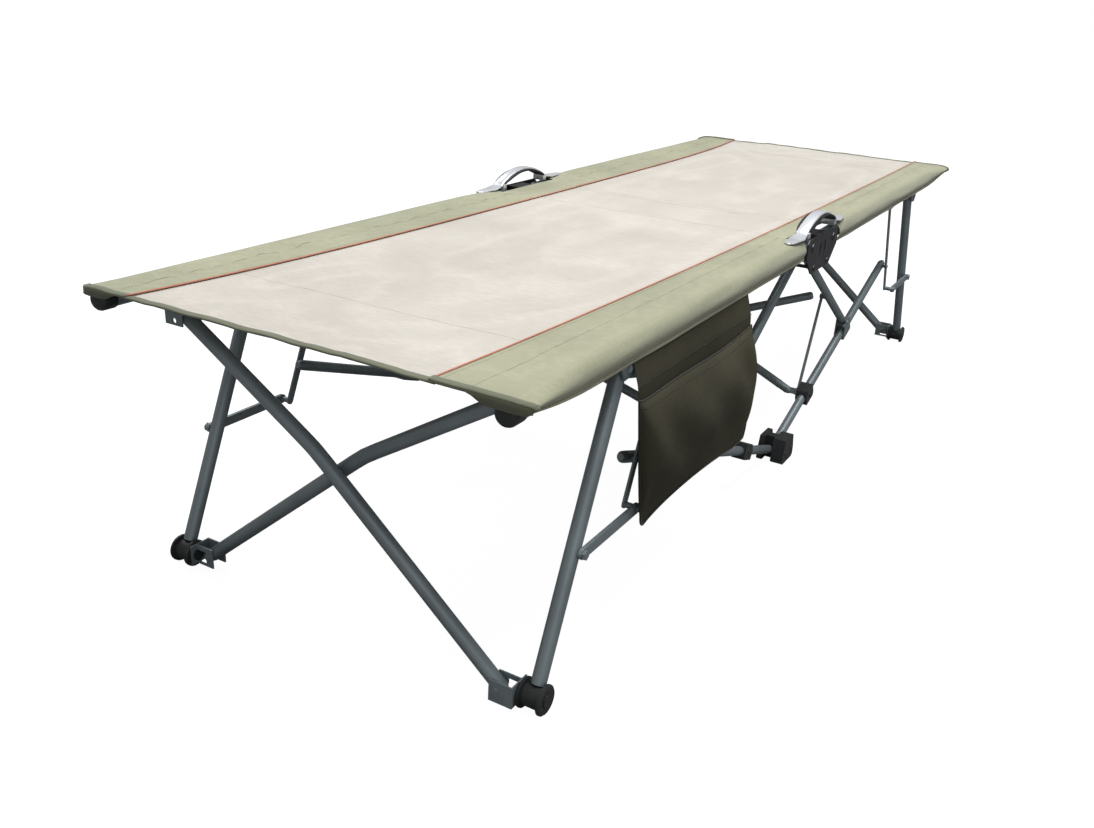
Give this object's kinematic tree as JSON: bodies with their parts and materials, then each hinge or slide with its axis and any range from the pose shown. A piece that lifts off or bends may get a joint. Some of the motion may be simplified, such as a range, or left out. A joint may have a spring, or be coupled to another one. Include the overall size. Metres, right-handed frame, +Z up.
{
  "type": "camping cot",
  "caption": "Folding camp bed: padded-edge cloth top on hinged side rails, crossed end tubes, strut-and-slider side frames, carry handles and a hanging side pocket",
  "frame": {"origin": "centre of the bed's box, on the floor", "axes": "+X along the bed, away from the end nearest the camera in the picture; +Y across the bed, away from the side with the pocket; +Z up"},
  "size_m": [1.908, 0.6614, 0.4572],
  "materials": {
    "dark_steel": "satin dark grey powder coat",
    "zinc_steel": "zinc plated pressed steel",
    "black_plastic": "moulded, fine grain",
    "grey_plastic": "silver grey, satin",
    "bed_fabric": "woven polyester, beige centre panel with olive side bands",
    "pocket_fabric": "woven polyester, dark olive"
  },
  "bodies": {
    "near_hub": {"hinge_bracket_near": "zinc_steel", "carry_handle_near": "grey_plastic"},
    "far_hub": {"hinge_bracket_far": "zinc_steel", "carry_handle_far": "grey_plastic"},
    "near_left_rail": {"side_rail_near_left": "dark_steel", "bed_cloth_left": "bed_fabric", "side_pocket": "pocket_fabric"},
    "near_left_centre_strut": {"centre_strut_near_left": "dark_steel"},
    "near_left_base_tube": {"base_tube_near_left": "dark_steel"},
    "near_left_lock_link": {"lock_link_near_left": "dark_steel"},
    "near_left_slider_block": {"slider_block_near_left": "black_plastic"},
    "near_left_leg_link": {"leg_link_near_left": "dark_steel"},
    "near_left_leg_stay": {"leg_stay_near_left": "dark_steel"},
    "near_left_foot_clevis": {"foot_clevis_near_left": "dark_steel"},
    "near_left_end_cross_tube": {"end_cross_tube_near_left": "dark_steel"},
    "near_left_mid_cross_tube": {"mid_cross_tube_near_left": "dark_steel"},
    "near_left_leg": {"corner_leg_near_left": "dark_steel", "corner_foot_near_left": "black_plastic"},
    "near_right_rail": {"side_rail_near_right": "dark_steel", "bed_cloth_right": "bed_fabric"},
    "near_right_centre_strut": {"centre_strut_near_right": "dark_steel"},
    "near_right_base_tube": {"base_tube_near_right": "dark_steel"},
    "near_right_lock_link": {"lock_link_near_right": "dark_steel"},
    "near_right_slider_block": {"slider_block_near_right": "black_plastic"},
    "near_right_leg_link": {"leg_link_near_right": "dark_steel"},
    "near_right_leg_stay": {"leg_stay_near_right": "dark_steel"},
    "near_right_foot_clevis": {"foot_clevis_near_right": "dark_steel"},
    "near_right_end_cross_tube": {"end_cross_tube_near_right": "dark_steel"},
    "near_right_mid_cross_tube": {"mid_cross_tube_near_right": "dark_steel"},
    "near_right_leg": {"corner_leg_near_right": "dark_steel", "corner_foot_near_right": "black_plastic"},
    "near_mid_foot": {"mid_foot_near": "black_plastic"},
    "far_left_rail": {"side_rail_far_left": "dark_steel"},
    "far_left_centre_strut": {"centre_strut_far_left": "dark_steel"},
    "far_left_base_tube": {"base_tube_far_left": "dark_steel"},
    "far_left_lock_link": {"lock_link_far_left": "dark_steel"},
    "far_left_slider_block": {"slider_block_far_left": "black_plastic"},
    "far_left_leg_link": {"leg_link_far_left": "dark_steel"},
    "far_left_leg_stay": {"leg_stay_far_left": "dark_steel"},
    "far_left_foot_clevis": {"foot_clevis_far_left": "dark_steel"},
    "far_left_end_cross_tube": {"end_cross_tube_far_left": "dark_steel"},
    "far_left_mid_cross_tube": {"mid_cross_tube_far_left": "dark_steel"},
    "far_left_leg": {"corner_leg_far_left": "dark_steel", "corner_foot_far_left": "black_plastic"},
    "far_right_rail": {"side_rail_far_right": "dark_steel"},
    "far_right_centre_strut": {"centre_strut_far_right": "dark_steel"},
    "far_right_base_tube": {"base_tube_far_right": "dark_steel"},
    "far_right_lock_link": {"lock_link_far_right": "dark_steel"},
    "far_right_slider_block": {"slider_block_far_right": "black_plastic"},
    "far_right_leg_link": {"leg_link_far_right": "dark_steel"},
    "far_right_leg_stay": {"leg_stay_far_right": "dark_steel"},
    "far_right_foot_clevis": {"foot_clevis_far_right": "dark_steel"},
    "far_right_end_cross_tube": {"end_cross_tube_far_right": "dark_steel"},
    "far_right_mid_cross_tube": {"mid_cross_tube_far_right": "dark_steel"},
    "far_right_leg": {"corner_leg_far_right": "dark_steel", "corner_foot_far_right": "black_plastic"},
    "far_mid_foot": {"mid_foot_far": "black_plastic"}
  },
  "joints": [
    {"name": "near_left_fold", "type": "hinge", "parent": "near_hub", "child": "near_left_rail", "pos_m": [-0.056, -0.2718, 0.405], "axis": [0, -1, 0], "range_deg": [0, 86]},
    {"name": "near_left_strut", "type": "hinge", "parent": "near_hub", "child": "near_left_centre_strut", "pos_m": [-0.036, -0.2498, 0.3675], "axis": [0, -1, 0], "range_deg": [0, 55.5]},
    {"name": "near_left_base", "type": "hinge", "parent": "near_mid_foot", "child": "near_left_base_tube", "pos_m": [-0.017, -0.2498, 0.02], "axis": [0, -1, 0], "range_deg": [0, 109.33]},
    {"name": "near_left_lock", "type": "hinge", "parent": "near_left_centre_strut", "child": "near_left_lock_link", "pos_m": [-0.235, -0.2363, 0.24896], "axis": [0, -1, 0], "range_deg": [-79, 0]},
    {"name": "near_left_slider", "type": "slide", "parent": "near_left_base_tube", "child": "near_left_slider_block", "axis": [-0.9437, 0, 0.3309], "range_m": [0, 0.09]},
    {"name": "near_left_link", "type": "hinge", "parent": "near_left_rail", "child": "near_left_leg_link", "pos_m": [-0.563, -0.2635, 0.3815], "axis": [0, -1, 0], "range_deg": [-58.8, 0]},
    {"name": "near_left_stay", "type": "hinge", "parent": "near_left_leg_link", "child": "near_left_leg_stay", "pos_m": [-0.64916, -0.2803, 0.18], "axis": [0, -1, 0], "range_deg": [0, 58.8]},
    {"name": "near_left_leg_turn", "type": "hinge", "parent": "near_left_rail", "child": "near_left_leg", "pos_m": [-0.703, -0.2678, 0.3815], "axis": [0, -1, 0], "range_deg": [-58.8, 0]},
    {"name": "near_left_clevis", "type": "hinge", "parent": "near_left_leg", "child": "near_left_foot_clevis", "pos_m": [-0.858, -0.2398, 0.019], "axis": [0, -1, 0], "range_deg": [-23.9, 0]},
    {"name": "near_left_end_cross", "type": "hinge", "parent": "near_left_foot_clevis", "child": "near_left_end_cross_tube", "pos_m": [-0.868, -0.2258, 0.022], "axis": [1, 0, 0], "range_deg": [0, 43.5]},
    {"name": "near_left_mid_cross", "type": "hinge", "parent": "near_left_lock_link", "child": "near_left_mid_cross_tube", "pos_m": [-0.165, -0.2158, 0.0719], "axis": [0.93, 0, 0.3676], "range_deg": [0, 56]},
    {"name": "near_right_fold", "type": "hinge", "parent": "near_hub", "child": "near_right_rail", "pos_m": [0.056, -0.2718, 0.405], "axis": [0, 1, 0], "range_deg": [0, 86]},
    {"name": "near_right_strut", "type": "hinge", "parent": "near_hub", "child": "near_right_centre_strut", "pos_m": [0.036, -0.2498, 0.3675], "axis": [0, 1, 0], "range_deg": [0, 55.5]},
    {"name": "near_right_base", "type": "hinge", "parent": "near_mid_foot", "child": "near_right_base_tube", "pos_m": [0.017, -0.2498, 0.02], "axis": [0, 1, 0], "range_deg": [0, 109.33]},
    {"name": "near_right_lock", "type": "hinge", "parent": "near_right_centre_strut", "child": "near_right_lock_link", "pos_m": [0.235, -0.2363, 0.24896], "axis": [0, 1, 0], "range_deg": [-79, 0]},
    {"name": "near_right_slider", "type": "slide", "parent": "near_right_base_tube", "child": "near_right_slider_block", "axis": [0.9437, 0, 0.3309], "range_m": [0, 0.09]},
    {"name": "near_right_link", "type": "hinge", "parent": "near_right_rail", "child": "near_right_leg_link", "pos_m": [0.563, -0.2635, 0.3815], "axis": [0, 1, 0], "range_deg": [-58.8, 0]},
    {"name": "near_right_stay", "type": "hinge", "parent": "near_right_leg_link", "child": "near_right_leg_stay", "pos_m": [0.64916, -0.2803, 0.18], "axis": [0, 1, 0], "range_deg": [0, 58.8]},
    {"name": "near_right_leg_turn", "type": "hinge", "parent": "near_right_rail", "child": "near_right_leg", "pos_m": [0.703, -0.2678, 0.3815], "axis": [0, 1, 0], "range_deg": [-58.8, 0]},
    {"name": "near_right_clevis", "type": "hinge", "parent": "near_right_leg", "child": "near_right_foot_clevis", "pos_m": [0.858, -0.2398, 0.019], "axis": [0, 1, 0], "range_deg": [-23.9, 0]},
    {"name": "near_right_end_cross", "type": "hinge", "parent": "near_right_foot_clevis", "child": "near_right_end_cross_tube", "pos_m": [0.868, -0.2258, 0.022], "axis": [1, 0, 0], "range_deg": [0, 43.5]},
    {"name": "near_right_mid_cross", "type": "hinge", "parent": "near_right_lock_link", "child": "near_right_mid_cross_tube", "pos_m": [0.165, -0.2158, 0.0719], "axis": [0.93, 0, -0.3676], "range_deg": [0, 56]},
    {"name": "near_mid_foot_rise", "type": "slide", "parent": "near_hub", "child": "near_mid_foot", "axis": [0, 0, 1], "range_m": [0, 0.27]},
    {"name": "far_left_fold", "type": "hinge", "parent": "far_hub", "child": "far_left_rail", "pos_m": [-0.056, 0.3122, 0.405], "axis": [0, -1, 0], "range_deg": [0, 86]},
    {"name": "far_left_strut", "type": "hinge", "parent": "far_hub", "child": "far_left_centre_strut", "pos_m": [-0.036, 0.2902, 0.3675], "axis": [0, -1, 0], "range_deg": [0, 55.5]},
    {"name": "far_left_base", "type": "hinge", "parent": "far_mid_foot", "child": "far_left_base_tube", "pos_m": [-0.017, 0.2902, 0.02], "axis": [0, -1, 0], "range_deg": [0, 109.33]},
    {"name": "far_left_lock", "type": "hinge", "parent": "far_left_centre_strut", "child": "far_left_lock_link", "pos_m": [-0.235, 0.2767, 0.24896], "axis": [0, -1, 0], "range_deg": [-79, 0]},
    {"name": "far_left_slider", "type": "slide", "parent": "far_left_base_tube", "child": "far_left_slider_block", "axis": [-0.9437, 0, 0.3309], "range_m": [0, 0.09]},
    {"name": "far_left_link", "type": "hinge", "parent": "far_left_rail", "child": "far_left_leg_link", "pos_m": [-0.563, 0.3039, 0.3815], "axis": [0, -1, 0], "range_deg": [-58.8, 0]},
    {"name": "far_left_stay", "type": "hinge", "parent": "far_left_leg_link", "child": "far_left_leg_stay", "pos_m": [-0.64916, 0.3207, 0.18], "axis": [0, -1, 0], "range_deg": [0, 58.8]},
    {"name": "far_left_leg_turn", "type": "hinge", "parent": "far_left_rail", "child": "far_left_leg", "pos_m": [-0.703, 0.3082, 0.3815], "axis": [0, -1, 0], "range_deg": [-58.8, 0]},
    {"name": "far_left_clevis", "type": "hinge", "parent": "far_left_leg", "child": "far_left_foot_clevis", "pos_m": [-0.858, 0.2802, 0.019], "axis": [0, -1, 0], "range_deg": [-23.9, 0]},
    {"name": "far_left_end_cross", "type": "hinge", "parent": "far_left_foot_clevis", "child": "far_left_end_cross_tube", "pos_m": [-0.848, 0.2662, 0.022], "axis": [-1, 0, 0], "range_deg": [0, 43.5]},
    {"name": "far_left_mid_cross", "type": "hinge", "parent": "far_left_lock_link", "child": "far_left_mid_cross_tube", "pos_m": [-0.18137, 0.2562, 0.06542], "axis": [-0.93, 0, -0.3676], "range_deg": [0, 56]},
    {"name": "far_right_fold", "type": "hinge", "parent": "far_hub", "child": "far_right_rail", "pos_m": [0.056, 0.3122, 0.405], "axis": [0, 1, 0], "range_deg": [0, 86]},
    {"name": "far_right_strut", "type": "hinge", "parent": "far_hub", "child": "far_right_centre_strut", "pos_m": [0.036, 0.2902, 0.3675], "axis": [0, 1, 0], "range_deg": [0, 55.5]},
    {"name": "far_right_base", "type": "hinge", "parent": "far_mid_foot", "child": "far_right_base_tube", "pos_m": [0.017, 0.2902, 0.02], "axis": [0, 1, 0], "range_deg": [0, 109.33]},
    {"name": "far_right_lock", "type": "hinge", "parent": "far_right_centre_strut", "child": "far_right_lock_link", "pos_m": [0.235, 0.2767, 0.24896], "axis": [0, 1, 0], "range_deg": [-79, 0]},
    {"name": "far_right_slider", "type": "slide", "parent": "far_right_base_tube", "child": "far_right_slider_block", "axis": [0.9437, 0, 0.3309], "range_m": [0, 0.09]},
    {"name": "far_right_link", "type": "hinge", "parent": "far_right_rail", "child": "far_right_leg_link", "pos_m": [0.563, 0.3039, 0.3815], "axis": [0, 1, 0], "range_deg": [-58.8, 0]},
    {"name": "far_right_stay", "type": "hinge", "parent": "far_right_leg_link", "child": "far_right_leg_stay", "pos_m": [0.64916, 0.3207, 0.18], "axis": [0, 1, 0], "range_deg": [0, 58.8]},
    {"name": "far_right_leg_turn", "type": "hinge", "parent": "far_right_rail", "child": "far_right_leg", "pos_m": [0.703, 0.3082, 0.3815], "axis": [0, 1, 0], "range_deg": [-58.8, 0]},
    {"name": "far_right_clevis", "type": "hinge", "parent": "far_right_leg", "child": "far_right_foot_clevis", "pos_m": [0.858, 0.2802, 0.019], "axis": [0, 1, 0], "range_deg": [-23.9, 0]},
    {"name": "far_right_end_cross", "type": "hinge", "parent": "far_right_foot_clevis", "child": "far_right_end_cross_tube", "pos_m": [0.848, 0.2662, 0.022], "axis": [-1, 0, 0], "range_deg": [0, 43.5]},
    {"name": "far_right_mid_cross", "type": "hinge", "parent": "far_right_lock_link", "child": "far_right_mid_cross_tube", "pos_m": [0.18137, 0.2562, 0.06542], "axis": [-0.93, 0, 0.3676], "range_deg": [0, 56]},
    {"name": "far_mid_foot_rise", "type": "slide", "parent": "far_hub", "child": "far_mid_foot", "axis": [0, 0, 1], "range_m": [0, 0.27]},
    {"name": "width", "type": "slide", "parent": "near_hub", "child": "far_hub", "axis": [0, -1, 0], "range_m": [0, 0.315], "deforming": ["bed_cloth_left", "bed_cloth_right"]}
  ],
  "couplings": [
    {"joint": "near_left_strut", "follows": "near_left_fold", "ratio": 0.64535},
    {"joint": "near_left_base", "follows": "near_left_fold", "ratio": 1.2713},
    {"joint": "near_left_lock", "follows": "near_left_fold", "ratio": -0.9186},
    {"joint": "near_left_slider", "follows": "near_left_fold", "m_per_rad": 0.059961},
    {"joint": "near_left_link", "follows": "near_left_fold", "ratio": -0.68372},
    {"joint": "near_left_stay", "follows": "near_left_fold", "ratio": 0.68372},
    {"joint": "near_left_leg_turn", "follows": "near_left_fold", "ratio": -0.68372},
    {"joint": "near_left_clevis", "follows": "near_left_fold", "ratio": -0.27791},
    {"joint": "near_left_end_cross", "follows": "near_left_fold", "ratio": 0.50581},
    {"joint": "near_left_mid_cross", "follows": "near_left_fold", "ratio": 0.65116},
    {"joint": "near_right_fold", "follows": "near_left_fold", "ratio": 1},
    {"joint": "near_right_strut", "follows": "near_left_fold", "ratio": 0.64535},
    {"joint": "near_right_base", "follows": "near_left_fold", "ratio": 1.2713},
    {"joint": "near_right_lock", "follows": "near_left_fold", "ratio": -0.9186},
    {"joint": "near_right_slider", "follows": "near_left_fold", "m_per_rad": 0.059961},
    {"joint": "near_right_link", "follows": "near_left_fold", "ratio": -0.68372},
    {"joint": "near_right_stay", "follows": "near_left_fold", "ratio": 0.68372},
    {"joint": "near_right_leg_turn", "follows": "near_left_fold", "ratio": -0.68372},
    {"joint": "near_right_clevis", "follows": "near_left_fold", "ratio": -0.27791},
    {"joint": "near_right_end_cross", "follows": "near_left_fold", "ratio": 0.50581},
    {"joint": "near_right_mid_cross", "follows": "near_left_fold", "ratio": 0.65116},
    {"joint": "near_mid_foot_rise", "follows": "near_left_fold", "m_per_rad": 0.17988},
    {"joint": "far_left_fold", "follows": "near_left_fold", "ratio": 1},
    {"joint": "far_left_strut", "follows": "near_left_fold", "ratio": 0.64535},
    {"joint": "far_left_base", "follows": "near_left_fold", "ratio": 1.2713},
    {"joint": "far_left_lock", "follows": "near_left_fold", "ratio": -0.9186},
    {"joint": "far_left_slider", "follows": "near_left_fold", "m_per_rad": 0.059961},
    {"joint": "far_left_link", "follows": "near_left_fold", "ratio": -0.68372},
    {"joint": "far_left_stay", "follows": "near_left_fold", "ratio": 0.68372},
    {"joint": "far_left_leg_turn", "follows": "near_left_fold", "ratio": -0.68372},
    {"joint": "far_left_clevis", "follows": "near_left_fold", "ratio": -0.27791},
    {"joint": "far_left_end_cross", "follows": "near_left_fold", "ratio": 0.50581},
    {"joint": "far_left_mid_cross", "follows": "near_left_fold", "ratio": 0.65116},
    {"joint": "far_right_fold", "follows": "near_left_fold", "ratio": 1},
    {"joint": "far_right_strut", "follows": "near_left_fold", "ratio": 0.64535},
    {"joint": "far_right_base", "follows": "near_left_fold", "ratio": 1.2713},
    {"joint": "far_right_lock", "follows": "near_left_fold", "ratio": -0.9186},
    {"joint": "far_right_slider", "follows": "near_left_fold", "m_per_rad": 0.059961},
    {"joint": "far_right_link", "follows": "near_left_fold", "ratio": -0.68372},
    {"joint": "far_right_stay", "follows": "near_left_fold", "ratio": 0.68372},
    {"joint": "far_right_leg_turn", "follows": "near_left_fold", "ratio": -0.68372},
    {"joint": "far_right_clevis", "follows": "near_left_fold", "ratio": -0.27791},
    {"joint": "far_right_end_cross", "follows": "near_left_fold", "ratio": 0.50581},
    {"joint": "far_right_mid_cross", "follows": "near_left_fold", "ratio": 0.65116},
    {"joint": "far_mid_foot_rise", "follows": "near_left_fold", "m_per_rad": 0.17988},
    {"joint": "width", "follows": "near_left_fold", "m_per_rad": 0.20986}
  ]
}
